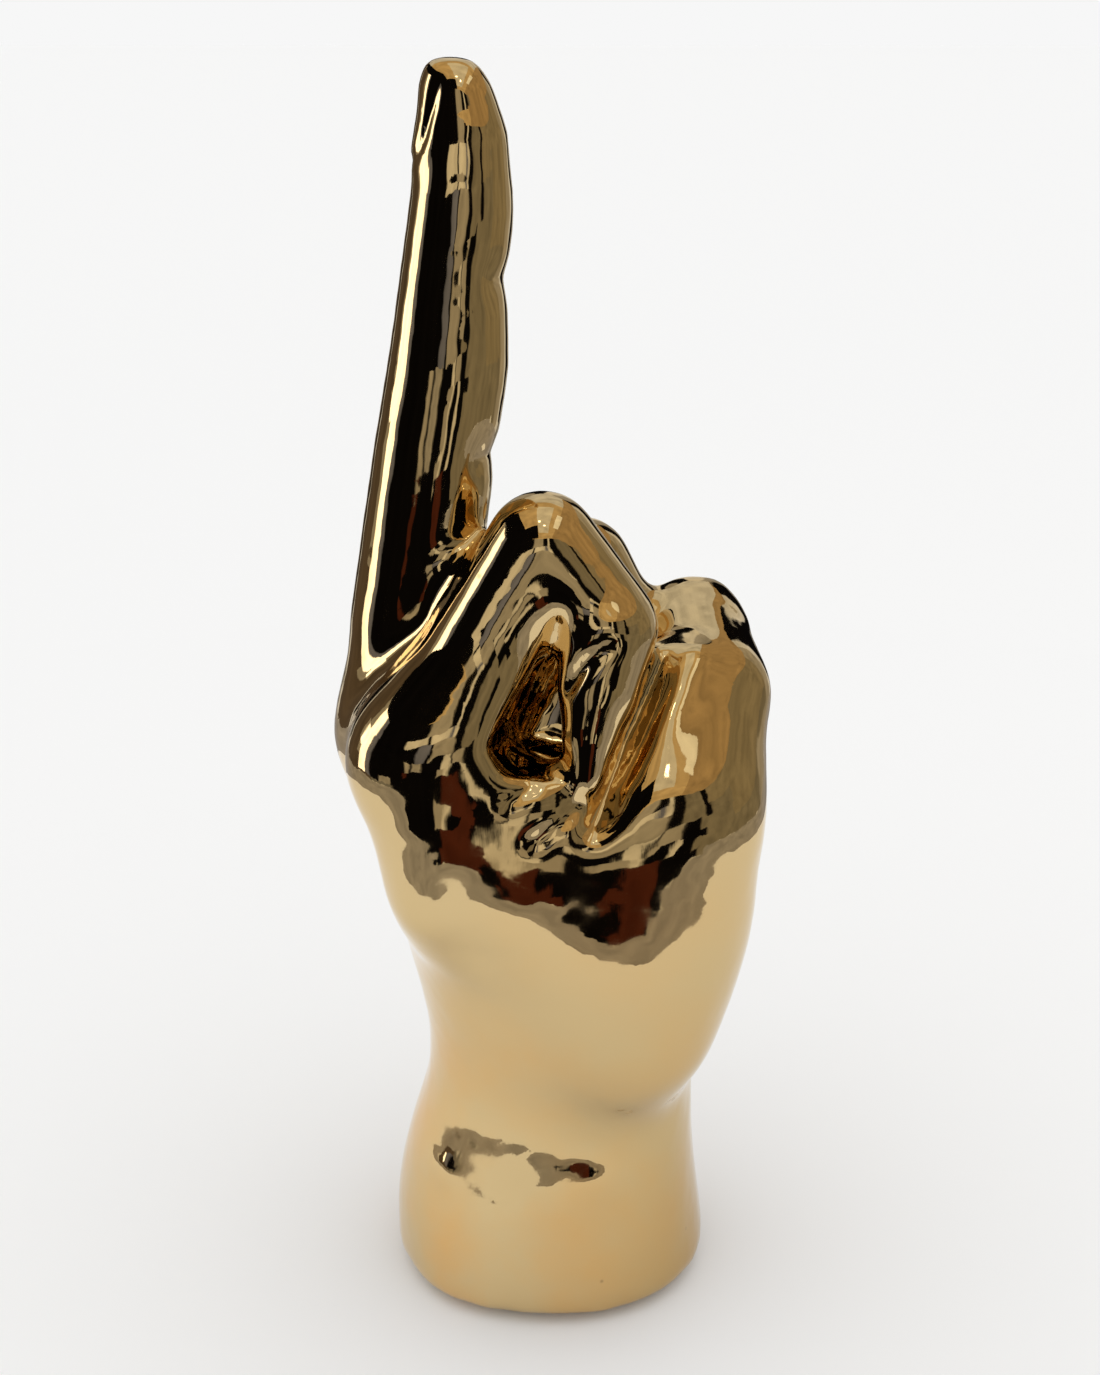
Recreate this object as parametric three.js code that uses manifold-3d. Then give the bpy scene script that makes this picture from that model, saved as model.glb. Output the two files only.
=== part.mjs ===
// Hand sculpture: a ceramic left hand with one finger raised, plated mirror gold, standing on its wrist.
// The palm and wrist are one cast. A raised finger, three folded fingers and a thumb are luted on with slip.
// Millimetres, +Z up. The origin is the middle of the felt under the wrist.
// -X is the back of the hand, +X the palm, -Y the thumb side and +Y the little-finger side.
import * as THREE from "three";
import { mergeVertices } from "three/addons/utils/BufferGeometryUtils.js";
import { triTable } from "three/addons/objects/MarchingCubes.js";
import Module from "manifold-3d";

const wasm = await Module();
wasm.setup();

// Foot and slip joints
const LUTE_GAP = 0.3; // left between two casts
const FELT_THICKNESS = 1.5;
const FELT_RADIUS = 25;
const FOOT_RADIUS = 29.4; // flat under the foot
const FOOT_ROUNDING = 2.6;
const FOLDED_LUTE = 11; // from a folded finger's knuckle to its slip joint
const RAISED_LUTE = 12;
const THUMB_LUTE = 4;

// Wrist and palm: sections at even steps from the table up, each with its middle, half depth and half breadth
const PALM_TOP = 120;
const PALM_STEP = PALM_TOP / 9.2; // from one section to the next
const PALM = {
  x: [0.4, -0.4, 0.1, 2, 2.8, 2, -1.5, -6.5, -10.5, -12],
  y: [0, 0, 0, 0.6, 1.8, 3, 5, 6, 6, 5.5],
  depth: [31, 30.3, 28.3, 26.2, 25, 26, 26, 25.5, 24, 19],
  breadth: [30.8, 30, 28.4, 26.4, 27, 30, 34, 35, 34, 29],
};
const PALM_SQUARENESS = 2.2; // exponent of a section, where 2 is an ellipse

// Rounded muscles of the palm, as ellipsoids
const HEEL_OF_PALM = { at: [11, 19, PALM_TOP - 46], half: [17.5, 18, 30] };
const BALL_OF_THUMB = { at: [18, -11.5, PALM_TOP - 38], half: [19.5, 20, 30] };
const ROOT_OF_THUMB = { at: [9, -14, PALM_TOP - 52], half: [17, 18, 27] };

// Flesh between the thumb and the index finger: its edge under the knuckle, its middle, its crest under the
// hollow and its rise to the thumb. Then the clay that fills the fist
const WEB_EDGE = { from: [-23, -20, PALM_TOP - 8], to: [-17.5, -23.2, PALM_TOP - 29], radii: [9.6, 11.5] };
const WEB = { from: [-14, -22, PALM_TOP - 32], to: [9, -20.5, PALM_TOP - 42], radii: [11.5, 12.5] };
const WEB_CREST = { from: [-13, -16.5, PALM_TOP - 4], to: [6, -19.5, PALM_TOP - 24], radii: [12.4, 12] };
const THUMB_RISE = { from: [14, -18, PALM_TOP - 21], to: [20, -6, PALM_TOP - 1], radii: [10, 9.5] };
const FIST_CORE = { from: [0, -4, PALM_TOP + 1], to: [5, 31, PALM_TOP - 14], radii: [11, 10.5] };

// Hollow that the index finger curls round, and the channel from it between fingertip and thumb
const HOLLOW = { from: [2, -19, PALM_TOP + 13], to: [-4, -25, PALM_TOP - 2], radii: [5, 7] };
const CHANNEL = { from: [20, -14, PALM_TOP + 10], to: [6.5, -28, PALM_TOP - 11], radii: [2.5, 2.5] };
const HOLLOW_BLEND = 4;

// Folded fingers: knuckle, lengths of the three bones, their slopes, turn to the side and lean in degrees,
// radii at the knuckle, the two joints and the tip, and where the palm's bone behind the knuckle starts
const FOLDED_FINGERS = {
  index_finger: {
    knuckle: [-23.6, -20.5, PALM_TOP - 8],
    lengths: [43.7, 18.3, 16.5],
    slopes: [59.4, -51, -103],
    turn: 0,
    lean: 13,
    radii: [9.8, 10, 9.2, 7.6],
    wrist: [-5, -10, 55],
  },
  ring_finger: {
    knuckle: [-26.2, 19, PALM_TOP - 15],
    lengths: [45, 26, 16],
    slopes: [45, -61, -126],
    turn: -3,
    lean: 0,
    radii: [9.8, 10.2, 9, 8],
    wrist: [-7, 8, 52],
  },
  little_finger: {
    knuckle: [-19, 35.5, PALM_TOP - 23],
    lengths: [37, 21, 14],
    slopes: [39.4, -62, -128],
    turn: -6,
    lean: 0,
    radii: [9, 9.4, 8.6, 7.6],
    wrist: [-2, 16, 52],
  },
};

// Raised finger: knuckle, length to the middle of the rounded tip, lean towards the palm in degrees, and at
// shares of that length the bow of its middle line towards the palm and its radius
const RAISED_FINGER = {
  knuckle: [-29.5, -0.4, PALM_TOP - 9],
  length: 114.5,
  lean: 7.1,
  shares: [0, 0.18, 0.46, 0.6, 0.7, 0.84, 0.935, 1],
  bow: [0, 1.6, 2.4, 3.1, 2.6, 2.4, 1.6, 0],
  radii: [9.1, 11.5, 11.1, 10.8, 9.9, 9.2, 7.8, 6.2],
  wrist: [-9, -1, 52],
};

// Thumb: joints from the wrist to the tip, and radii there
const THUMB = {
  joints: [
    [15, -17, PALM_TOP - 62],
    [24.5, -14.5, PALM_TOP - 19],
    [29.6, -1.5, PALM_TOP - 2],
    [27.5, 18, PALM_TOP + 5],
  ],
  radii: [13, 12.6, 11.6, 10],
};
const PALM_BONE_RADIUS = 11; // at the wrist

// Nails: how far the middle lies back from the middle of the rounded tip, and the sizes along and across
const NAIL_RISE = 0.7; // above the skin
const RAISED_NAIL = { back: 4.6, along: [-0.08, 0, 1], facing: [-1, 0, 0], width: 11.5, length: 15 };
const THUMB_NAIL = { back: 0, along: [0, 1, 0.2], facing: [0.8, 0, 0.6], width: 13, length: 14 };
const FOLDED_NAIL = { width: 1.45, length: 1.7 }; // as shares of the radius of the fingertip

// Softness of the clay
const FLESH_BLEND = 10; // where the palm's bones and muscles run together
const ROOT_BLEND = 8; // where a finger grows out of the palm
const JOINT_BLEND = 0.6; // where a finger's own bones meet

// Facets
const SKIN_CELL = 4.4;
const PARTING_CELL = 5;
const PARTING_REACH = 8; // how far a finger's share of the clay goes out past its own skin
const ROUND_SIDES = 40;
const EVENING_ROUNDS = 6;

const vector = (array) => new THREE.Vector3(...array);
const radians = THREE.MathUtils.degToRad;

// A form gives the distance of a point from its skin, negative inside.
// A bone is a tapered bar with round ends.
function bone(from, to, radiusFrom, radiusTo) {
  const along = to.clone().sub(from);
  const offset = new THREE.Vector3();
  return (point) => {
    offset.subVectors(point, from);
    const t = THREE.MathUtils.clamp(offset.dot(along) / along.lengthSq(), 0, 1);
    return offset.addScaledVector(along, -t).length() - THREE.MathUtils.lerp(radiusFrom, radiusTo, t);
  };
}

function flesh({ from, to, radii }) {
  return bone(vector(from), vector(to), ...radii);
}

function muscle({ at, half }) {
  const middle = vector(at);
  const size = vector(half);
  const offset = new THREE.Vector3();
  return (point) => {
    offset.subVectors(point, middle).divide(size);
    const reach = offset.length();
    return (reach * (reach - 1)) / Math.max(offset.divide(size).length(), 1e-6);
  };
}

// Two distances joined or cut with a rounded corner
function softMin(a, b, softness) {
  const overlap = Math.max(softness - Math.abs(a - b), 0) / softness;
  return Math.min(a, b) - (overlap * overlap * softness) / 4;
}

function softMax(a, b, softness) {
  return -softMin(-a, -b, softness);
}

function blended(softness, forms) {
  return (point) => forms.reduce((least, form) => softMin(least, form(point), softness), Infinity);
}

// The smooth curve through the sections of the wrist and palm, rounded off under the fingers
function palmForm() {
  const middles = new THREE.SplineCurve(PALM.x.map((x, i) => new THREE.Vector2(x, PALM.y[i])));
  const sizes = new THREE.SplineCurve(PALM.depth.map((d, i) => new THREE.Vector2(d, PALM.breadth[i])));
  const height = PALM_STEP * (PALM.depth.length - 1);
  return ({ x, y, z }) => {
    const t = THREE.MathUtils.clamp(z / height, 0, 1);
    const middle = middles.getPoint(t);
    const size = sizes.getPoint(t);
    const across = Math.abs((x - middle.x) / size.x) ** PALM_SQUARENESS;
    const over = Math.abs((y - middle.y) / size.y) ** PALM_SQUARENESS;
    const sideways = ((across + over) ** (1 / PALM_SQUARENESS) - 1) * Math.min(size.x, size.y);
    return softMax(Math.max(sideways, -z), z - PALM_TOP, FLESH_BLEND);
  };
}

// A limb is a chain of bones. Its root is the bone that grows out of the palm, which its slip joint crosses.
function limb(joints, radii, rootBone, luteOffset, nail) {
  const bones = joints.slice(1).map((end, i) => bone(joints[i], end, radii[i], radii[i + 1]));
  const axis = joints[rootBone + 1].clone().sub(joints[rootBone]).normalize();
  const lute = joints[rootBone].clone().addScaledVector(axis, luteOffset);
  return {
    whole: blended(JOINT_BLEND, bones.slice(rootBone)),
    root: bones[rootBone],
    behindLute: (point) => lute.clone().sub(point).dot(axis),
    tip: joints.at(-1),
    nail,
  };
}

// A folded finger bends in one plane, which may turn and lean
function foldedFinger({ knuckle, lengths, slopes, turn, lean, radii }) {
  const placed = new THREE.Matrix4().makeRotationZ(radians(turn));
  placed.multiply(new THREE.Matrix4().makeRotationX(radians(-lean)));
  const joints = [vector(knuckle)];
  slopes.forEach((slope, i) => {
    const step = new THREE.Vector3(Math.cos(radians(slope)), 0, Math.sin(radians(slope)));
    joints.push(step.multiplyScalar(lengths[i]).applyMatrix4(placed).add(joints[i]));
  });
  const along = joints.at(-1).clone().sub(joints.at(-2)).normalize();
  const sideways = new THREE.Vector3(0, 1, 0).applyMatrix4(placed);
  const tipRadius = radii.at(-1);
  return limb(joints, radii, 0, FOLDED_LUTE, {
    back: 0,
    along: along.toArray(),
    facing: along.clone().cross(sideways).toArray(),
    width: FOLDED_NAIL.width * tipRadius,
    length: FOLDED_NAIL.length * tipRadius,
  });
}

// The raised finger's middle line
function raisedLine({ knuckle, length, lean, shares, bow }) {
  const along = new THREE.Vector3(Math.sin(radians(lean)), 0, Math.cos(radians(lean)));
  const front = new THREE.Vector3(along.z, 0, -along.x);
  return shares.map((share, i) => {
    return vector(knuckle).addScaledVector(along, share * length).addScaledVector(front, bow[i]);
  });
}

const thumbJoints = THUMB.joints.map(vector);
const raisedJoints = raisedLine(RAISED_FINGER);
const limbs = {
  raised_finger: limb(raisedJoints, RAISED_FINGER.radii, 0, RAISED_LUTE, RAISED_NAIL),
  thumb: limb(thumbJoints, THUMB.radii, 1, THUMB_LUTE, THUMB_NAIL),
};
for (const [name, finger] of Object.entries(FOLDED_FINGERS)) limbs[name] = foldedFinger(finger);

const palmBones = [
  bone(vector(RAISED_FINGER.wrist), raisedJoints[0], PALM_BONE_RADIUS, RAISED_FINGER.radii[0]),
  bone(thumbJoints[0], thumbJoints[1], THUMB.radii[0], THUMB.radii[1]),
];
for (const { wrist, knuckle, radii } of Object.values(FOLDED_FINGERS)) {
  palmBones.push(bone(vector(wrist), vector(knuckle), PALM_BONE_RADIUS, radii[0]));
}
const muscles = [HEEL_OF_PALM, BALL_OF_THUMB, ROOT_OF_THUMB].map(muscle);
const web = [WEB_EDGE, WEB, WEB_CREST, THUMB_RISE].map(flesh);
const soft = [palmForm(), ...web, flesh(FIST_CORE), ...muscles];
const palmWithoutBones = blended(FLESH_BLEND, soft);
const palmWithBones = blended(FLESH_BLEND, [...soft, ...palmBones]);

const hollow = blended(HOLLOW_BLEND, [flesh(HOLLOW), flesh(CHANNEL)]);

function wholeHand(point) {
  const palm = softMax(palmWithBones(point), -hollow(point), HOLLOW_BLEND);
  let least = palm;
  for (const { whole, root } of Object.values(limbs)) {
    least = Math.min(least, softMin(palm, root(point), ROOT_BLEND), whole(point));
  }
  return least;
}

// A limb's share of the clay: nearer to it than to anything else, and past its slip joint
function shareOf(name, grow) {
  const { whole, behindLute } = limbs[name];
  const others = Object.values(limbs).filter((other) => other !== limbs[name]);
  return (point) => {
    const own = whole(point);
    const nearest = Math.min(palmWithoutBones(point), ...others.map((other) => other.whole(point)));
    return Math.max(own - nearest - 2 * grow, behindLute(point) - grow, own - PARTING_REACH);
  };
}

function solidFrom(geometry) {
  geometry.deleteAttribute("normal");
  geometry.deleteAttribute("uv");
  const merged = mergeVertices(geometry, 1e-4);
  return new wasm.Manifold(
    new wasm.Mesh({
      numProp: 3,
      vertProperties: merged.attributes.position.array,
      triVerts: new Uint32Array(merged.index.array),
    }),
  );
}

function geometryFrom(solid) {
  const mesh = solid.getMesh();
  const geometry = new THREE.BufferGeometry();
  geometry.setAttribute("position", new THREE.BufferAttribute(mesh.vertProperties, 3));
  geometry.setIndex(new THREE.BufferAttribute(mesh.triVerts, 1));
  geometry.computeVertexNormals();
  return geometry;
}

// The largest body of a solid, without the crumbs that a cut leaves
function mainBody(solid) {
  return solid.decompose().reduce((best, body) => (body.volume() > best.volume() ? body : best));
}

// Room for the whole hand and for the limbs' shares of it
const room = new THREE.Box3();
room.setFromPoints([...Object.values(limbs).map(({ tip }) => tip), ...raisedJoints, ...thumbJoints]);
room.expandByPoint(new THREE.Vector3(-PALM.depth[0], -PALM.breadth[0], 0));
room.expandByPoint(new THREE.Vector3(PALM.depth[0], FOLDED_FINGERS.little_finger.knuckle[1], 0));
room.expandByScalar(24);

// Corners of a cell, and the pairs of them that its edges join
const CELL_CORNERS = [
  [0, 0, 0], [1, 0, 0], [1, 1, 0], [0, 1, 0],
  [0, 0, 1], [1, 0, 1], [1, 1, 1], [0, 1, 1],
];
const CELL_EDGES = [
  [0, 1], [1, 2], [2, 3], [3, 0],
  [4, 5], [5, 6], [6, 7], [7, 4],
  [0, 4], [1, 5], [2, 6], [3, 7],
];

// A form's skin, found on a grid of cells by marching cubes
function skin(form, cell) {
  const size = room.getSize(new THREE.Vector3());
  const [nx, ny, nz] = size.toArray().map((length) => Math.ceil(length / cell) + 1);
  const place = (i, j, k) => new THREE.Vector3(i, j, k).multiplyScalar(cell).add(room.min);
  const index = (i, j, k) => i + nx * (j + ny * k);
  const least = cell / 20; // keeps a corner of the skin off the corners of the grid
  const distance = new Float64Array(nx * ny * nz);
  for (let k = 0; k < nz; k++) {
    for (let j = 0; j < ny; j++) {
      for (let i = 0; i < nx; i++) {
        const value = form(place(i, j, k));
        distance[index(i, j, k)] = value < 0 ? Math.min(value, -least) : Math.max(value, least);
      }
    }
  }
  const points = [];
  const faces = [];
  const known = new Map();
  const crossing = (a, b) => {
    const [low, high] = [index(...a), index(...b)].sort((one, other) => one - other);
    const key = low * distance.length + high;
    if (!known.has(key)) {
      known.set(key, points.length);
      const [from, to] = [distance[index(...a)], distance[index(...b)]];
      points.push(place(...a).lerp(place(...b), from / (from - to)));
    }
    return known.get(key);
  };
  for (let k = 0; k < nz - 1; k++) {
    for (let j = 0; j < ny - 1; j++) {
      for (let i = 0; i < nx - 1; i++) {
        const corners = CELL_CORNERS.map(([a, b, c]) => [i + a, j + b, k + c]);
        const inside = corners.reduce((bits, corner, n) => bits | ((distance[index(...corner)] < 0) << n), 0);
        for (let n = inside * 16; triTable[n] !== -1; n += 3) {
          for (const edge of [triTable[n], triTable[n + 2], triTable[n + 1]]) {
            const [a, b] = CELL_EDGES[edge];
            faces.push(crossing(corners[a], corners[b]));
          }
        }
      }
    }
  }
  evenOut(points, faces, form);
  const geometry = new THREE.BufferGeometry().setFromPoints(points);
  geometry.setIndex(faces);
  return solidFrom(geometry);
}

// Draws each corner of a skin towards the middle of its neighbours, and back onto the form
function evenOut(points, faces, form) {
  const nudge = 0.05;
  const probe = new THREE.Vector3();
  for (let round = 0; round < EVENING_ROUNDS; round++) {
    const sums = points.map(() => new THREE.Vector3());
    const counts = points.map(() => 0);
    faces.forEach((from, n) => {
      const to = faces[n % 3 === 2 ? n - 2 : n + 1];
      sums[from].add(points[to]);
      counts[from] += 1;
    });
    points.forEach((point, n) => {
      point.lerp(sums[n].divideScalar(counts[n]), 0.5);
      const off = form(point);
      const slope = new THREE.Vector3(
        form(probe.copy(point).setX(point.x + nudge)) - off,
        form(probe.copy(point).setY(point.y + nudge)) - off,
        form(probe.copy(point).setZ(point.z + nudge)) - off,
      ).divideScalar(nudge);
      point.addScaledVector(slope, -off / Math.max(slope.lengthSq(), 0.25));
    });
  }
}

// A nail stands a little off the skin, inside an oval outline
function nailPlate({ whole, tip, nail }) {
  const outline = new THREE.Shape();
  outline.absellipse(0, 0, nail.width / 2, nail.length / 2, 0, 2 * Math.PI);
  const options = { depth: 2 * nail.width, bevelEnabled: false, curveSegments: ROUND_SIDES / 2 };
  const column = new THREE.ExtrudeGeometry(outline, options);
  const along = vector(nail.along).normalize();
  const side = along.clone().cross(vector(nail.facing)).normalize();
  const axes = new THREE.Matrix4().makeBasis(side, along, side.clone().cross(along));
  column.applyMatrix4(axes.setPosition(tip.clone().addScaledVector(along, -nail.back)));
  return skin((point) => whole(point) - NAIL_RISE, SKIN_CELL).intersect(solidFrom(column));
}

// The inside of a mould that is flat under the foot and round at its edge, and open above
function footMould() {
  const top = room.max.z;
  const profile = new THREE.Path();
  profile.moveTo(0, FELT_THICKNESS);
  profile.lineTo(FOOT_RADIUS, FELT_THICKNESS);
  profile.absarc(FOOT_RADIUS, FELT_THICKNESS + FOOT_ROUNDING, FOOT_ROUNDING, -Math.PI / 2, -Math.PI / 8);
  profile.lineTo(top, top / 2);
  profile.lineTo(top, top);
  profile.lineTo(0, top);
  const geometry = new THREE.LatheGeometry(profile.getPoints(4), ROUND_SIDES);
  return solidFrom(geometry.rotateX(Math.PI / 2));
}

// One hand of clay, with its nails, finished at the foot and then parted at the slip joints
let clay = skin(wholeHand, SKIN_CELL);
for (const each of Object.values(limbs)) clay = clay.add(nailPlate(each));
clay = clay.intersect(footMould());
const pieces = {};
for (const name of Object.keys(limbs)) {
  const share = skin(shareOf(name, 0), PARTING_CELL);
  pieces[name] = mainBody(clay.intersect(share));
  clay = clay.subtract(share).subtract(skin(shareOf(name, LUTE_GAP), PARTING_CELL));
}
pieces.palm_and_wrist = mainBody(clay);

const gold = new THREE.MeshStandardMaterial({ color: 0xd9b26a, roughness: 0.06, metalness: 1 });
const blackFelt = new THREE.MeshStandardMaterial({ color: 0x1c1b1a, roughness: 0.95, metalness: 0 });

const sculpture = new THREE.Group();
for (const [name, solid] of Object.entries(pieces)) {
  const mesh = new THREE.Mesh(geometryFrom(solid), gold);
  mesh.name = name;
  sculpture.add(mesh);
}

// Felt disc glued under the foot
const disc = new THREE.CylinderGeometry(FELT_RADIUS, FELT_RADIUS, FELT_THICKNESS, ROUND_SIDES);
const felt = new THREE.Mesh(disc, blackFelt);
felt.name = "felt_pad";
felt.rotation.x = Math.PI / 2;
felt.position.z = FELT_THICKNESS / 2;
sculpture.add(felt);

export default sculpture;
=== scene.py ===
import math

import bpy
import numpy as np
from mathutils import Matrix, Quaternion, Vector


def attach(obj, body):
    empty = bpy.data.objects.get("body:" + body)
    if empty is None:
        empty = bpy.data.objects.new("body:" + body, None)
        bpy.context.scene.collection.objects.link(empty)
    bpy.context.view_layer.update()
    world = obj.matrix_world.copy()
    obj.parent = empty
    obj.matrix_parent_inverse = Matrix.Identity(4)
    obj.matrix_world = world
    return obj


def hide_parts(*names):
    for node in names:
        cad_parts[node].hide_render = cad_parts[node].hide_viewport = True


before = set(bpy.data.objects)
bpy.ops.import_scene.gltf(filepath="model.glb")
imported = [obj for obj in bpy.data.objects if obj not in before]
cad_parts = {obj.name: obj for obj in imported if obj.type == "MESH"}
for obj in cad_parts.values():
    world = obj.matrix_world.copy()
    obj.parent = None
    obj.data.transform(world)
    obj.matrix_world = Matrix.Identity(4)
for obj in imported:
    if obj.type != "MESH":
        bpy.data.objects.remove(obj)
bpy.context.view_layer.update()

# The hand: a hollow slip-cast ceramic body, with the fingers and the thumb luted on with wet slip.
# The joints are sponged over before the firing, so one skin runs over all six casts without a seam.
# It starts from copies of the casts, with a rolled coil of clay through each finger to make it truly round.
MM = 0.001
CASTS = ("palm_and_wrist", "raised_finger", "index_finger", "ring_finger", "little_finger", "thumb")
# The weld, the swell and the grain are in metres.
WELD = 1e-6
SLIP_SWELL = 0.0004
CLAY_GRAIN = 0.00085
COIL_SIDES = 64
COIL_RINGS = 32

# Each coil goes from the knuckle to the tip: x, y, z and radius at every joint, in millimetres.
COILS = {
    "raised": (
        (-29.5, -0.4, 111.0, 9.1), (-25.4, -0.4, 131.3, 11.5), (-20.6, -0.4, 163.0, 11.1),
        (-17.9, -0.4, 178.8, 10.8), (-17.0, -0.4, 190.2, 9.9), (-15.2, -0.4, 206.1, 9.2),
        (-14.7, -0.4, 217.0, 7.8), (-15.3, -0.4, 224.6, 6.2),
    ),
    "index": (
        (-23.6, -20.5, 112, 9.8), (-1.4, -12, 148.7, 10),
        (10.1, -15.2, 134.8, 9.2), (6.4, -18.9, 119.1, 7.6),
    ),
    "ring": (
        (-26.2, 19, 105, 9.8), (5.6, 17.3, 136.8, 10.2),
        (18.2, 16.6, 114.1, 9), (8.8, 17.1, 101.2, 8),
    ),
    "little": (
        (-19, 35.5, 97, 9), (9.4, 32.5, 120.5, 9.4),
        (19.2, 31.5, 102, 8.6), (10.6, 32.4, 91, 7.6),
    ),
    "thumb": ((24.5, -14.5, 101, 12.6), (29.6, -1.5, 118, 11.6), (27.5, 18, 125, 10)),
}


def finish_with(kind, **settings):
    bpy.ops.object.modifier_add(type=kind)
    modifier = bpy.context.object.modifiers[-1]
    for key, value in settings.items():
        setattr(modifier, key, value)
    bpy.ops.object.modifier_apply(modifier=modifier.name)


def roll_coil(joints):
    rolls = []
    for *middle, radius in joints:
        bpy.ops.mesh.primitive_uv_sphere_add(
            segments=COIL_SIDES, ring_count=COIL_RINGS,
            radius=radius * MM + SLIP_SWELL, location=Vector(middle) * MM,
        )
        rolls.append(bpy.context.object)
    for (*start, thick), (*stop, thin) in zip(joints, joints[1:]):
        along = (Vector(stop) - Vector(start)) * MM
        bpy.ops.mesh.primitive_cone_add(
            vertices=COIL_SIDES, radius1=thick * MM + SLIP_SWELL, radius2=thin * MM + SLIP_SWELL,
            depth=along.length, location=Vector(start) * MM + along / 2,
            rotation=along.to_track_quat("Z", "Y").to_euler(),
        )
        rolls.append(bpy.context.object)
    return rolls


def lute_on(rolls):
    for roll in rolls:
        roll.select_set(True)
    hand.select_set(True)
    bpy.context.view_layer.objects.active = hand
    bpy.ops.object.join()
    finish_with("REMESH", mode="VOXEL", voxel_size=CLAY_GRAIN)


bpy.ops.object.select_all(action="DESELECT")
for name in CASTS:
    cast = bpy.data.objects.new(name + "_copy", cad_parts[name].data.copy())
    bpy.context.collection.objects.link(cast)
    cast.select_set(True)
    bpy.context.view_layer.objects.active = cast
bpy.ops.object.join()
hand = bpy.context.object
hand.name = "gold_hand"
bpy.ops.object.mode_set(mode="EDIT")
bpy.ops.mesh.select_all(action="SELECT")
bpy.ops.mesh.remove_doubles(threshold=WELD)
bpy.ops.object.mode_set(mode="OBJECT")
finish_with("DISPLACE", strength=SLIP_SWELL, mid_level=0)
lute_on([roll for joints in COILS.values() for roll in roll_coil(joints)])

# The hollow inside the bent index finger: opened in firm clay with a three-sided loop tool, which goes in
# from the thumb side. The groove beside the thumb is then drawn with a three-sided blade.
# The finger's tip, a thin coil, is laid back over both cuts, so that its edge overlaps them.
THREE_SIDES = 3
# A three-sided section of radius 1 is this wide and this high.
SECTION_WIDTH = math.sqrt(3)
SECTION_HEIGHT = 1.5
# Places and sizes are in millimetres, and leans, turns, dips and rolls in degrees.
HOLLOW_MIDDLE = (-0.8, -25, 123.3)
HOLLOW_HEIGHT = 32
HOLLOW_WIDTH = 18
HOLLOW_DEPTH = 28
HOLLOW_LEAN = 6
HOLLOW_TURN = 13
TOOL_DIP = 18
TOOL_TAPER = 0.7
GROOVE_TOP = (22.5, -8.6, 132)
GROOVE_END = (6.2, -32.4, 100.5)
GROOVE_WIDTH = 10.5
GROOVE_DEPTH = 9
GROOVE_ROLL = 144
BLADE_RINGS = 16
FINGERTIP = ((10.1, -17, 134.8, 8.8), (8.3, -20.5, 125, 7.2), (6.8, -23.8, 117, 5), (6.4, -26.8, 110, 2.6))


def cut_with(tool):
    hand.select_set(True)
    bpy.context.view_layer.objects.active = hand
    finish_with("BOOLEAN", operation="DIFFERENCE", object=tool, solver="EXACT")
    bpy.data.objects.remove(tool)


bpy.ops.mesh.primitive_cone_add(
    vertices=THREE_SIDES, radius1=TOOL_TAPER, radius2=1, depth=1, location=Vector(HOLLOW_MIDDLE) * MM
)
loop_tool = bpy.context.object
loop_tool.scale = (
    HOLLOW_WIDTH * MM / SECTION_WIDTH, HOLLOW_HEIGHT * MM / SECTION_HEIGHT, HOLLOW_DEPTH * MM
)
loop_tool.rotation_euler = (
    math.radians(90 - TOOL_DIP), math.radians(HOLLOW_LEAN), math.radians(-HOLLOW_TURN)
)
cut_with(loop_tool)

along = (Vector(GROOVE_END) - Vector(GROOVE_TOP)) * MM
bpy.ops.mesh.primitive_uv_sphere_add(
    segments=THREE_SIDES, ring_count=BLADE_RINGS, radius=1, location=Vector(GROOVE_TOP) * MM + along / 2
)
blade = bpy.context.object
blade.scale = (GROOVE_WIDTH * MM / SECTION_WIDTH, GROOVE_DEPTH * MM / SECTION_HEIGHT, along.length / 2)
rolled = Quaternion((0, 0, 1), math.radians(GROOVE_ROLL))
blade.rotation_euler = (along.to_track_quat("Z", "Y") @ rolled).to_euler()
cut_with(blade)

lute_on(roll_coil(FINGERTIP))
finish_with("DISPLACE", strength=-SLIP_SWELL, mid_level=0)

# The sponge: the damp clay is wiped until the joints, the palm and the fingers flow into each other.
# The palm gets all the strokes, the fingers and the foot's edge fewer, and the hollow's edges hardly any.
PALM_STROKES = 60
STROKE_WEIGHT = 0.5
LIGHTEST_TOUCH = 0.004
# Shares of the palm's strokes, and where they hold, in millimetres: above the coils, up to the tip of
# the raised finger, up from the foot, and away from the hollow's edges.
FINGER_SHARE = 0.45
COIL_MARGIN = 0.5
COIL_FADE = 1.5
RAISED_SHARE = 0.9
TIP_HEIGHT = 208
FOOT_SHARE = 0.6
FOOT_HEIGHT = 7
EDGE_SHARE = 0.12
EDGE_REACH = 4
HOLLOW_RIM = [(1.2, -24, 140), (-9.5, -28, 115), (5, -28, 111)]


def skin_points():
    points = np.empty(len(hand.data.vertices) * 3)
    hand.data.vertices.foreach_get("co", points)
    return points.reshape(-1, 3) / MM


def distance_from(start, stop, points):
    along = stop - start
    share = np.clip((points - start) @ along / (along @ along), 0, 1)
    return np.linalg.norm(points - start - np.outer(share, along), axis=1), share


def above_coils(points):
    nearest = np.full(len(points), np.inf)
    for joints in COILS.values():
        for (*start, thick), (*stop, thin) in zip(joints, joints[1:]):
            distance, share = distance_from(np.array(start), np.array(stop), points)
            nearest = np.minimum(nearest, distance - thick - share * (thin - thick))
    return nearest


def distance_to(path, points):
    nearest = np.full(len(points), np.inf)
    for start, stop in zip(np.array(path), np.array(path)[1:]):
        distance, _ = distance_from(start, stop, points)
        nearest = np.minimum(nearest, distance)
    return nearest


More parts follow.
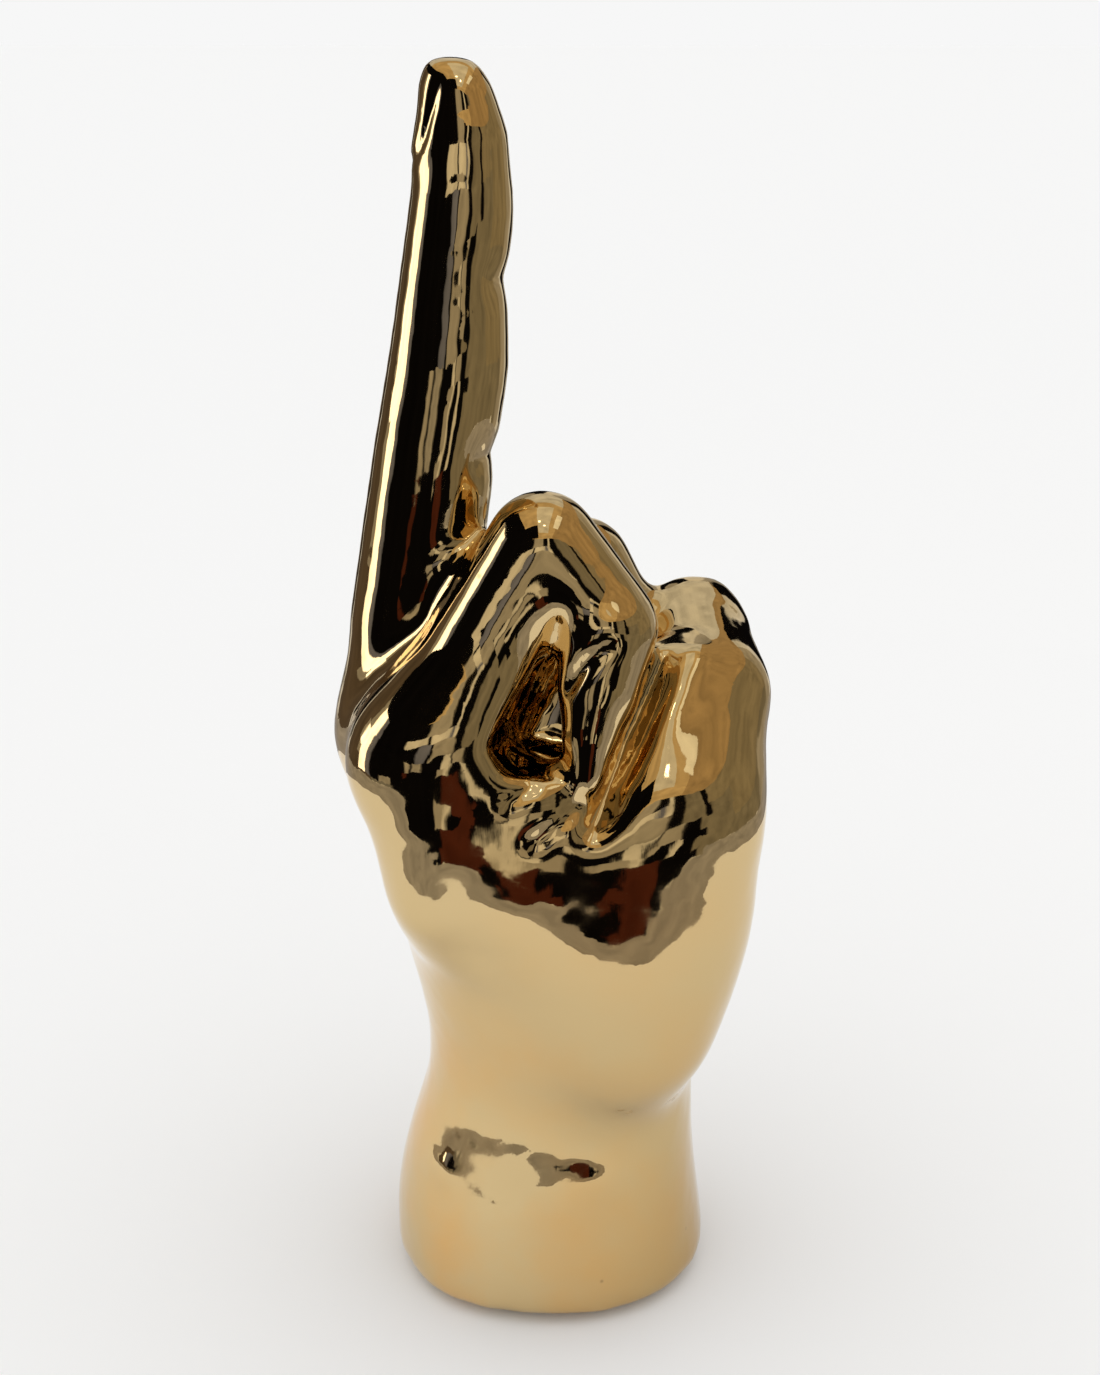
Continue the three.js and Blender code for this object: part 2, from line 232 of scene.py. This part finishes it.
def weigh(weights):
    group = hand.vertex_groups.new(name="stroke")
    for index in np.flatnonzero(weights > LIGHTEST_TOUCH):
        group.add([int(index)], float(weights[index]), "REPLACE")


skin = skin_points()
sponged = np.clip((above_coils(skin) - COIL_MARGIN) / COIL_FADE, FINGER_SHARE, 1)
*_, knuckle_height, knuckle_radius = COILS["index"][1]
on_raised = (skin[:, 2] > knuckle_height + knuckle_radius) & (skin[:, 2] < TIP_HEIGHT)
sponged[on_raised] = RAISED_SHARE
sponged[skin[:, 2] < FOOT_HEIGHT] = FOOT_SHARE
at_edge = np.exp(-(distance_to(HOLLOW_RIM, skin) / EDGE_REACH) ** 2)
weigh(sponged + (EDGE_SHARE - sponged) * at_edge)
finish_with("SMOOTH", factor=STROKE_WEIGHT, iterations=PALM_STROKES, vertex_group="stroke")
hand.vertex_groups.clear()

# Tool work in the soft clay: broad swells and dents first, then the narrow folds, creases and wrinkles.
# Each is drawn with a round-ended tool along a path over the skin, pressed in or, below zero, raised.
# Paths, widths and depths are in millimetres, in the frame of the casts.
SWELLS = (
    # Under the knuckle and on the web
    ([(-22.5, -35, 102), (-22.5, -35, 88)], 6, -1.3),
    ([(-15.5, -36, 91), (-14, -35.5, 80)], 6.5, 1.5),
    ([(-31, -20, 99), (-29, -21, 86)], 7, 1.2),
    # Along the thumb's edge, beside the groove
    ([(26, -10, 127), (22, -16, 121), (17, -21, 116), (12.5, -25, 110)], 4, -1.2),
    # Round the wrist: low swells that show as grey and dark marks in the mirror
    ([(-23.5, -19, 28), (-21, -21.2, 28)], 3, -0.42),
    ([(-13, -26, 28), (-7, -27.2, 28)], 4.5, 0.35),
    ([(0.5, -27.8, 28), (6.4, -27.1, 28)], 7, -0.43),
    ([(7.5, -26.8, 29.5), (9.5, -26.3, 29.5)], 3.2, -0.24),
    # The fold between the ball of the thumb and the wrist, partly filled
    ([(22, -18, 56), (30, -6, 58)], 8, -0.8),
    # Round the tip of the raised finger
    ([(-9.5, -3, 229), (-9.5, 2, 229)], 3.5, 0.6),
    ([(-20, -3, 229), (-20, 2, 229)], 2.8, -0.9),
    ([(-22.8, -0.4, 216), (-20.8, -0.4, 228)], 3.2, -0.5),
    # The raised finger's two joints, on the palm's side
    ([(-8, -6, 193.7), (-6.8, 0, 193.7), (-8, 5, 193.7)], 3.5, 0.9),
    ([(-11, -7, 163), (-9.5, 0, 163), (-11, 6, 163)], 3.5, 0.9),
)
FOLDS = (
    # The bend of the index finger's tip
    ([(2.5, -25, 127), (6, -25, 131), (9.9, -24.4, 133.9)], 1.5, 1.5),
    # Two wrinkles on the web, below the hollow
    ([(-7.2, -32, 108.3), (-3.5, -30, 110.3)], 1.6, 0.8),
    ([(-2.4, -32.8, 101.1), (1.4, -31.7, 104), (4.9, -29.1, 106.5)], 1.6, 0.8),
    # The edge of the raised finger's nail
    ([(-18.6, -6, 229), (-21.2, -5, 217.5), (-22.2, -3.5, 214.5), (-23.2, -0.4, 213.6), (-22.2, 2.7, 214.5),
      (-21.2, 4.2, 217.5), (-18.6, 5.2, 229)], 0.9, 0.8),
    # The creases in the raised finger's joints
    ([(-9, -7, 193.7), (-6.8, 0, 193.7), (-9, 6, 193.7)], 0.9, 0.5),
    ([(-12, -8, 163), (-9.5, 0, 163), (-12, 7, 163)], 0.9, 0.5),
)


def press(path, width, depth):
    weigh(np.exp(-(distance_to(path, skin_points()) / width) ** 2))
    finish_with("DISPLACE", vertex_group="stroke", strength=-depth * MM, mid_level=0)
    hand.vertex_groups.clear()


for path, width, depth in SWELLS + FOLDS:
    press(path, width, depth)

# The glaze: clear glass over the clay, which rounds the tool marks as it melts in the kiln.
# It gathers and thins, so a broad ripple and two fine ones are left in it, and the mirror bends a little.
FLAME_STROKES = 4
# Length and height of each ripple, in metres
GLAZE_RIPPLES = ((0.016, 0.0002), (0.006, 0.0001), (0.0028, 0.00005))
RIPPLE_LEVEL = 0.5
finish_with("SMOOTH", factor=STROKE_WEIGHT, iterations=FLAME_STROKES)
for length, height in GLAZE_RIPPLES:
    ripple = bpy.data.textures.new("glaze_ripple", "CLOUDS")
    ripple.noise_scale = length
    finish_with("DISPLACE", texture=ripple, texture_coords="LOCAL", strength=height, mid_level=RIPPLE_LEVEL)
bpy.ops.object.shade_smooth()

# The plating: bright gold lustre, fired on over the glaze in a film too thin to hide it.
# It is a clean mirror on the fingers. Lower down it has a haze, warmer amber clouds that are partly a patchy
# tone and partly a painted reflection of the shaded floor by the foot, and a painted shade that darkens
# towards +x.
# Pinholes, a light bloom, a fine peel and upright hairlines are all over it.
CHAMPAGNE = (0.69, 0.515, 0.265, 1)
# Amber: partly a patchy tone, partly a painted reflection of the shaded floor mirrored near the foot
AMBER = (0.78, 0.46, 0.17, 1)
# Painted shade: the darker tone of the lower palm's side away from the light
SIDE_SHADE = (0.47, 0.33, 0.145, 1)
PINHOLE = (0.16, 0.10, 0.05, 1)
# In metres: hazed, with the painted reflection and painted shade, below this height; the painted shade grows
# between these two places along x
HAZE_AND_PAINTED_LIGHT_BELOW = 0.11
SIDE_SHADE_FROM = -0.012
SIDE_SHADE_TO = 0.036
# Patterns: how many to the metre, and how many finer sizes each holds
CLOUDS = (38, 4)
SCARCE = (24, 2)
BLOOM = (160, 5)
HAZE = (70, 6)
PEEL = (420, 2)
HAIRS = (900, 3)
PITS = 120
HAIR_STRETCH = (1, 1, 0.05)
HAIR_SHARE = 0.5
PEEL_STRENGTH = 0.025
PEEL_DEPTH = 0.0004
# Fades: a place on the pattern's own scale, and the strength there
LOW_FADE = ((0, 1), (0.35, 0.55), (1, 0))
CLOUD_FADE = ((0.42, 0), (0.66, 1))
PIT_FADE = ((0.05, 1), (0.09, 0))
SCARCE_FADE = ((0.56, 0), (0.64, 1))
BLOOM_FADE = ((0.4, 0.02), (0.75, 0.07))
HAZE_FADE = ((0.45, 0), (0.7, 0.14))


def add_node(tree, kind, **settings):
    node = tree.nodes.new(kind)
    for key, value in settings.items():
        if key in node.inputs:
            node.inputs[key].default_value = value
        else:
            setattr(node, key, value)
    return node


def feed(tree, value, socket):
    if isinstance(value, bpy.types.NodeSocket):
        tree.links.new(value, socket)
    else:
        socket.default_value = value


def grey(level):
    return (level, level, level, 1)


def ramp(tree, factor, stops):
    node = tree.nodes.new("ShaderNodeValToRGB")
    elements = node.color_ramp.elements
    while len(elements) < len(stops):
        elements.new(1)
    for element, (position, colour) in zip(elements, stops):
        element.position = position
        element.color = colour
    tree.links.new(factor, node.inputs["Fac"])
    return node.outputs["Color"]


def fade(tree, factor, stops):
    return ramp(tree, factor, [(position, grey(level)) for position, level in stops])


def mix_colours(tree, blend, factor, first, second):
    node = add_node(tree, "ShaderNodeMix", data_type="RGBA", blend_type=blend)
    sockets = {socket.identifier: socket for socket in node.inputs}
    feed(tree, factor, sockets["Factor_Float"])
    feed(tree, first, sockets["A_Color"])
    feed(tree, second, sockets["B_Color"])
    return next(output for output in node.outputs if output.identifier == "Result_Color")


def noise(tree, place, pattern, stretch=(1, 1, 1)):
    scale, detail = pattern
    drawn = add_node(tree, "ShaderNodeMapping", Scale=stretch)
    tree.links.new(place, drawn.inputs["Vector"])
    node = add_node(tree, "ShaderNodeTexNoise", Scale=scale, Detail=detail)
    tree.links.new(drawn.outputs["Vector"], node.inputs["Vector"])
    return node.outputs["Fac"]


gold = bpy.data.materials.new("mirror_gold")
gold.use_nodes = True
tree = gold.node_tree
shader = tree.nodes["Principled BSDF"]
shader.inputs["Metallic"].default_value = 1
place = add_node(tree, "ShaderNodeTexCoord").outputs["Object"]
axes = add_node(tree, "ShaderNodeSeparateXYZ")
tree.links.new(place, axes.inputs["Vector"])
rise = add_node(tree, "ShaderNodeMapRange")
rise.inputs["From Max"].default_value = HAZE_AND_PAINTED_LIGHT_BELOW
tree.links.new(axes.outputs["Z"], rise.inputs["Value"])
low = fade(tree, rise.outputs["Result"], LOW_FADE)
# Painted reflection, partly patchy tone: amber clouds that thicken towards the foot, for the shaded floor
# mirrored there
clouds = fade(tree, noise(tree, place, CLOUDS), CLOUD_FADE)
amber_tone_and_reflection = mix_colours(tree, "MULTIPLY", 1, clouds, low)
tone = mix_colours(tree, "MIX", amber_tone_and_reflection, CHAMPAGNE, AMBER)
# Painted shade: low down, the gold's colour darkens towards +x
side = add_node(tree, "ShaderNodeMapRange")
side.inputs["From Min"].default_value = SIDE_SHADE_FROM
side.inputs["From Max"].default_value = SIDE_SHADE_TO
tree.links.new(axes.outputs["X"], side.inputs["Value"])
side_shade = mix_colours(tree, "MULTIPLY", 1, low, side.outputs["Result"])
tone = mix_colours(tree, "MIX", side_shade, tone, SIDE_SHADE)
pits = add_node(tree, "ShaderNodeTexVoronoi", Scale=PITS)
tree.links.new(place, pits.inputs["Vector"])
pinholes = fade(tree, pits.outputs["Distance"], PIT_FADE)
scarce = fade(tree, noise(tree, place, SCARCE), SCARCE_FADE)
tone = mix_colours(tree, "MIX", mix_colours(tree, "MULTIPLY", 1, pinholes, scarce), tone, PINHOLE)
tree.links.new(tone, shader.inputs["Base Color"])
bloom = fade(tree, noise(tree, place, BLOOM), BLOOM_FADE)
haze = fade(tree, noise(tree, place, HAZE), HAZE_FADE)
rubbed = mix_colours(tree, "MULTIPLY", 1, haze, low)
tree.links.new(mix_colours(tree, "ADD", 1, bloom, rubbed), shader.inputs["Roughness"])
hairs = noise(tree, place, HAIRS, HAIR_STRETCH)
peel = mix_colours(tree, "MIX", HAIR_SHARE, noise(tree, place, PEEL), hairs)
bump = add_node(tree, "ShaderNodeBump", Strength=PEEL_STRENGTH, Distance=PEEL_DEPTH)
tree.links.new(peel, bump.inputs["Height"])
tree.links.new(bump.outputs["Normal"], shader.inputs["Normal"])
hand.data.materials.clear()
hand.data.materials.append(gold)
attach(hand, "root")
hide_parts(*CASTS)

# The foot's pad: a disc of black wool felt, pressed fibres with no weave, glued under the unglazed foot.
# Its shape is the cast node's own, and it gets its fibres and lint here.
FELT_DARK = (0.012, 0.012, 0.013, 1)
FELT_LINT = (0.055, 0.053, 0.05, 1)
LINT_FROM = 0.35
LINT_TO = 0.75
DRY_FADE = ((0.3, 0.85), (0.7, 1))
FIBRES = 900
FIBRE_DETAIL = 6
FIBRE_CURL = 1.5
FELT_SHEEN = 0.3
FIBRE_STRENGTH = 0.6
FIBRE_DEPTH = 0.0006
felt = bpy.data.materials.new("black_felt")
felt.use_nodes = True
tree = felt.node_tree
shader = tree.nodes["Principled BSDF"]
shader.inputs["Sheen Weight"].default_value = FELT_SHEEN
place = add_node(tree, "ShaderNodeTexCoord").outputs["Object"]
fibre = add_node(tree, "ShaderNodeTexNoise", Scale=FIBRES, Detail=FIBRE_DETAIL, Distortion=FIBRE_CURL)
tree.links.new(place, fibre.inputs["Vector"])
tone = ramp(tree, fibre.outputs["Fac"], [(LINT_FROM, FELT_DARK), (LINT_TO, FELT_LINT)])
tree.links.new(tone, shader.inputs["Base Color"])
tree.links.new(fade(tree, fibre.outputs["Fac"], DRY_FADE), shader.inputs["Roughness"])
bump = add_node(tree, "ShaderNodeBump", Strength=FIBRE_STRENGTH, Distance=FIBRE_DEPTH)
tree.links.new(fibre.outputs["Fac"], bump.inputs["Height"])
tree.links.new(bump.outputs["Normal"], shader.inputs["Normal"])
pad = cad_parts["felt_pad"]
pad.data.materials.clear()
pad.data.materials.append(felt)

# The table: a wide sheet of pale paper that the hand stands on and mirrors in its palm and wrist.
# It takes the hand's soft shadow, and its far edge is too far off to see.
PAPER = (0.93, 0.93, 0.925, 1)
PAPER_ROUGHNESS = 0.9
PAPER_GLOSS = 0.1
TABLE_SIZE = 60
bpy.ops.mesh.primitive_plane_add(size=TABLE_SIZE)
table = bpy.context.object
table.name = "table"
paper = bpy.data.materials.new("paper")
paper.use_nodes = True
shader = paper.node_tree.nodes["Principled BSDF"]
shader.inputs["Base Color"].default_value = PAPER
shader.inputs["Roughness"].default_value = PAPER_ROUGHNESS
shader.inputs["Specular IOR Level"].default_value = PAPER_GLOSS
table.data.materials.append(paper)

# The light: an even white dome over the table, with no lamp that would throw a hard shadow.
# Where it is seen, also in a mirror, it has about the same pale tone as the paper.
DOME_LIGHT = 1.0
DOME_SHOWN = 0.93
world = bpy.data.worlds.new("studio")
bpy.context.scene.world = world
world.use_nodes = True
tree = world.node_tree
light = tree.nodes["Background"]
light.inputs["Color"].default_value = grey(1)
light.inputs["Strength"].default_value = DOME_LIGHT
shown = add_node(tree, "ShaderNodeBackground", Color=grey(1), Strength=DOME_SHOWN)
rays = add_node(tree, "ShaderNodeLightPath")
camera_or_gloss = add_node(tree, "ShaderNodeMath", operation="ADD")
any_view = add_node(tree, "ShaderNodeMath", operation="ADD", use_clamp=True)
choose = add_node(tree, "ShaderNodeMixShader")
tree.links.new(rays.outputs["Is Camera Ray"], camera_or_gloss.inputs[0])
tree.links.new(rays.outputs["Is Glossy Ray"], camera_or_gloss.inputs[1])
tree.links.new(camera_or_gloss.outputs["Value"], any_view.inputs[0])
tree.links.new(rays.outputs["Is Transmission Ray"], any_view.inputs[1])
tree.links.new(any_view.outputs["Value"], choose.inputs["Fac"])
tree.links.new(light.outputs["Background"], choose.inputs[1])
tree.links.new(shown.outputs["Background"], choose.inputs[2])
tree.links.new(choose.outputs["Shader"], tree.nodes["World Output"].inputs["Surface"])

# The boards: plain card on stands round the table, a grey ring on it that is a painted shade of the table's
# far part, and panels overhead, as for any mirror finish.
# They glow by themselves and are seen only in the gold, so they light nothing and throw no shadow.
# Each card's tone is a little patchy, and the edges between cards are cut by hand, so they waver.
CARDS = {
    "velvet": (0.004, 0.0035, 0.004),
    "umber": (0.12, 0.09, 0.065),
    "rust": (0.085, 0.022, 0.012),
    "slate": (0.20, 0.21, 0.28),
    "stone": (0.24, 0.23, 0.21),
    # The ring on the table: painted shade of its far part, as the gold mirrors it
    "table_shade": (0.42, 0.40, 0.39),
    "drab": (0.42, 0.39, 0.34),
    "cream": (0.46, 0.42, 0.35),
    "olive": (0.27, 0.24, 0.18),
    "tan": (0.33, 0.28, 0.19),
    "straw": (0.86, 0.81, 0.70),
    "pale": (0.80, 0.79, 0.76),
    "white": (3.2, 3.1, 3.0),
    "honey": (0.72, 0.53, 0.28),
    "toffee": (0.5, 0.35, 0.18),
    "linen": (1.3, 1.25, 1.1),
    "bulb": (6, 5.7, 5.1),
}
BRIGHTEST = 6
# Boards in rows, each row from a height in metres: the turn from the front, in degrees, where a card starts.
FRONT_ROWS = (
    (0.0, (
        (-180, "umber"), (-80, "stone"), (-48, "velvet"), (5, "rust"), (20, "velvet"), (40, "olive"),
        (125, "cream"),
    )),
    (0.018, (
        (-180, "umber"), (-103, "white"), (-88, "slate"), (-80, "velvet"), (-66, "drab"), (-50, "velvet"),
        (9, "rust"), (20, "velvet"), (36, "olive"), (125, "cream"),
    )),
    (0.058, (
        (-180, "umber"), (-103, "white"), (-88, "slate"), (-80, "velvet"), (-34, "rust"), (-27, "velvet"),
        (4, "cream"), (11, "straw"), (14, "velvet"), (22, "straw"), (26, "velvet"), (46, "olive"),
        (125, "cream"),
    )),
    (0.1, (
        (-180, "umber"), (-112, "drab"), (-103, "white"), (-88, "slate"), (-80, "velvet"), (-31, "cream"),
        (-24, "velvet"), (-21, "drab"), (-10, "velvet"), (8, "straw"), (13, "velvet"), (15, "cream"),
        (25, "velvet"), (38, "olive"), (78, "tan"), (125, "cream"),
    )),
    (0.17, (
        (-180, "umber"), (-116, "drab"), (-111, "white"), (-88, "slate"), (-80, "velvet"), (-17, "slate"),
        (-8, "velvet"), (-5, "cream"), (14, "velvet"), (23, "olive"), (45, "velvet"), (52, "olive"),
        (80, "tan"), (125, "cream"),
    )),
    (0.27, (
        (-180, "umber"), (-112, "drab"), (-103, "white"), (-86, "slate"), (-78, "velvet"), (-35, "straw"),
        (-12, "velvet"), (-9, "straw"), (7, "slate"), (11, "straw"), (15, "velvet"), (24, "olive"),
        (44, "velvet"), (50, "tan"), (125, "cream"),
    )),
    (0.325, (
        (-180, "umber"), (-112, "drab"), (-103, "white"), (-86, "slate"), (-78, "velvet"), (-14, "cream"),
        (4, "velvet"), (12, "straw"), (15, "velvet"), (24, "olive"), (44, "velvet"), (50, "tan"),
        (125, "cream"),
    )),
)
BACK_ROWS = (
    (0.0, ((-180, "pale"), (-30, "stone"), (30, "pale"))),
    (0.03, (
        (-180, "pale"), (-36, "velvet"), (-24, "drab"), (-13, "straw"), (-6, "velvet"), (4, "cream"),
        (15, "umber"), (27, "velvet"), (34, "pale"),
    )),
)
# Panels overhead: x and y of the middle, drop below the ceiling, width and length in metres, and the card.
PANELS = (
    (0.3, 0, 0, 1.0, 1.6, "honey"),
    (0.3, 0.62, 0.002, 1.0, 1.0, "pale"),
    (-0.7, 0, 0, 1.0, 1.6, "velvet"),
    (-0.125, -0.31, 0.004, 0.16, 0.22, "velvet"),
    (0.55, 0, 0.003, 0.8, 1.6, "toffee"),
    (0.02, -0.12, 0.005, 0.12, 0.36, "straw"),
    (0.145, -0.12, 0.008, 0.05, 0.18, "linen"),
    (-0.02, -0.14, 0.01, 0.02, 0.02, "bulb"),
    (0.03, -0.2, 0.01, 0.02, 0.02, "bulb"),
)
CEILING = 0.42
BOARD_RADIUS = 0.45
FRONT_REACH = 140
FULL_TURN = 360
STRAIGHT_AHEAD = 0.5
EDGE_BLUR = 0.0012
WOBBLE = 0.03
WOBBLE_SCALE = 22
WOBBLE_DETAIL = 4
PATCH_SCALE = 14
PATCH_DETAIL = 5
PATCH_FADE = ((0.25, 0.6), (0.72, 1))
# The ring of painted table shade: its inner radius and thickness in metres, and its sides
TABLE_SHADE_RADIUS = 0.265
TABLE_SHADE_THICKNESS = 0.002
TABLE_SHADE_SIDES = 180

patchy_card = bpy.data.node_groups.new("patchy_card", "ShaderNodeTree")
patchy_card.interface.new_socket("Place", in_out="INPUT", socket_type="NodeSocketVector")
patchy_card.interface.new_socket("Card", in_out="INPUT", socket_type="NodeSocketColor")
patchy_card.interface.new_socket("Colour", in_out="OUTPUT", socket_type="NodeSocketColor")
given = patchy_card.nodes.new("NodeGroupInput")
taken = patchy_card.nodes.new("NodeGroupOutput")
patch = add_node(patchy_card, "ShaderNodeTexNoise", Scale=PATCH_SCALE, Detail=PATCH_DETAIL)
patchy_card.links.new(given.outputs["Place"], patch.inputs["Vector"])
patches = fade(patchy_card, patch.outputs["Fac"], PATCH_FADE)
toned = mix_colours(patchy_card, "MULTIPLY", 1, given.outputs["Card"], patches)
patchy_card.links.new(toned, taken.inputs["Colour"])


def shade(card):
    return (*[level / BRIGHTEST for level in CARDS[card]], 1)


def start_card(name):
    material = bpy.data.materials.new(name)
    material.use_nodes = True
    tree = material.node_tree
    tree.nodes.remove(tree.nodes["Principled BSDF"])
    place = add_node(tree, "ShaderNodeTexCoord").outputs["Object"]
    return material, tree, place


def show_in_gold_only(board, material, tree, place, colour):
    card = add_node(tree, "ShaderNodeGroup", node_tree=patchy_card)
    tree.links.new(place, card.inputs["Place"])
    feed(tree, colour, card.inputs["Card"])
    emission = add_node(tree, "ShaderNodeEmission", Strength=BRIGHTEST)
    tree.links.new(card.outputs["Colour"], emission.inputs["Color"])
    tree.links.new(emission.outputs["Emission"], tree.nodes["Material Output"].inputs["Surface"])
    board.data.materials.append(material)
    board.visible_camera = False
    board.visible_diffuse = False
    board.visible_shadow = False


def stand_boards(name, rows, is_shown, quarter_turn):
    bpy.ops.mesh.primitive_cylinder_add(
        vertices=FULL_TURN, radius=BOARD_RADIUS, depth=CEILING, end_fill_type="NOTHING",
        location=(0, 0, CEILING / 2),
    )
    board = bpy.context.object
    board.name = name
    bpy.ops.object.transform_apply(location=True)
    bpy.ops.object.mode_set(mode="EDIT")
    bpy.ops.mesh.select_mode(type="FACE")
    bpy.ops.mesh.select_all(action="DESELECT")
    bpy.ops.object.mode_set(mode="OBJECT")
    for face in board.data.polygons:
        face.select = not is_shown(math.degrees(math.atan2(face.center.x, -face.center.y)))
    bpy.ops.object.mode_set(mode="EDIT")
    bpy.ops.mesh.delete(type="FACE")
    bpy.ops.object.mode_set(mode="OBJECT")
    material, tree, place = start_card(name)
    wobble = add_node(tree, "ShaderNodeTexNoise", Scale=WOBBLE_SCALE, Detail=WOBBLE_DETAIL)
    tree.links.new(place, wobble.inputs["Vector"])
    bent = add_node(tree, "ShaderNodeVectorMath", operation="MULTIPLY_ADD")
    bent.inputs[1].default_value = (WOBBLE, WOBBLE, WOBBLE)
    tree.links.new(wobble.outputs["Color"], bent.inputs[0])
    tree.links.new(place, bent.inputs[2])
    facing = add_node(tree, "ShaderNodeMapping")
    facing.inputs["Location"].default_value = (-WOBBLE / 2, -WOBBLE / 2, -WOBBLE / 2)
    facing.inputs["Rotation"].default_value = (0, 0, quarter_turn)
    tree.links.new(bent.outputs["Vector"], facing.inputs["Vector"])
    turn = add_node(tree, "ShaderNodeTexGradient", gradient_type="RADIAL")
    tree.links.new(facing.outputs["Vector"], turn.inputs["Vector"])
    axes = add_node(tree, "ShaderNodeSeparateXYZ")
    tree.links.new(facing.outputs["Vector"], axes.inputs["Vector"])
    colour = shade("pale")
    for low, cards in rows:
        stops = [(0, shade(cards[0][1]))]
        for (_, before), (start, card) in zip(cards, cards[1:]):
            edge = start / FULL_TURN + STRAIGHT_AHEAD
            stops += [(edge - EDGE_BLUR, shade(before)), (edge + EDGE_BLUR, shade(card))]
        above = add_node(tree, "ShaderNodeMath", operation="GREATER_THAN")
        above.inputs[1].default_value = low
        tree.links.new(axes.outputs["Z"], above.inputs[0])
        row = ramp(tree, turn.outputs["Fac"], stops)
        colour = mix_colours(tree, "MIX", above.outputs["Value"], colour, row)
    show_in_gold_only(board, material, tree, place, colour)


# Painted shade: a grey ring round the hand on the table, seen only in the gold as the table's shaded far part
def lay_table_shade():
    bpy.ops.mesh.primitive_cone_add(
        vertices=TABLE_SHADE_SIDES, radius1=BOARD_RADIUS, radius2=TABLE_SHADE_RADIUS, depth=TABLE_SHADE_THICKNESS,
        end_fill_type="NOTHING", location=(0, 0, TABLE_SHADE_THICKNESS / 2),
    )
    table_shade = bpy.context.object
    table_shade.name = "table_shade"
    material, tree, place = start_card("table_shade")
    show_in_gold_only(table_shade, material, tree, place, shade("table_shade"))


def hang_panel(x, y, below, width, length, card):
    bpy.ops.mesh.primitive_plane_add(size=1, location=(x, y, CEILING - below))
    panel = bpy.context.object
    panel.name = card + "_panel"
    panel.scale = (width, length, 1)
    bpy.ops.object.transform_apply()
    material, tree, place = start_card(card)
    show_in_gold_only(panel, material, tree, place, shade(card))


lay_table_shade()
stand_boards("front_boards", FRONT_ROWS, lambda turn: abs(turn) < FRONT_REACH, math.pi / 2)
stand_boards("back_boards", BACK_ROWS, lambda turn: abs(turn) > FRONT_REACH, -math.pi / 2)
for panel in PANELS:
    hang_panel(*panel)

# The camera: in front of the thumb side and a little above, tipped down, at the photograph's angle.
# The lens and sensor are in millimetres, and the hand fills the frame as it does there.
CAMERA_PLACE = (0, -0.348, 0.235)
CAMERA_TIP = 71.5
CAMERA_SENSOR = 36
CAMERA_LENS = 51.6
bpy.ops.object.camera_add(location=CAMERA_PLACE, rotation=(math.radians(CAMERA_TIP), 0, 0))
camera = bpy.context.object
camera.data.sensor_fit = "VERTICAL"
camera.data.sensor_height = CAMERA_SENSOR
camera.data.lens = CAMERA_LENS
bpy.context.scene.camera = camera
bpy.context.scene.view_settings.view_transform = "Standard"
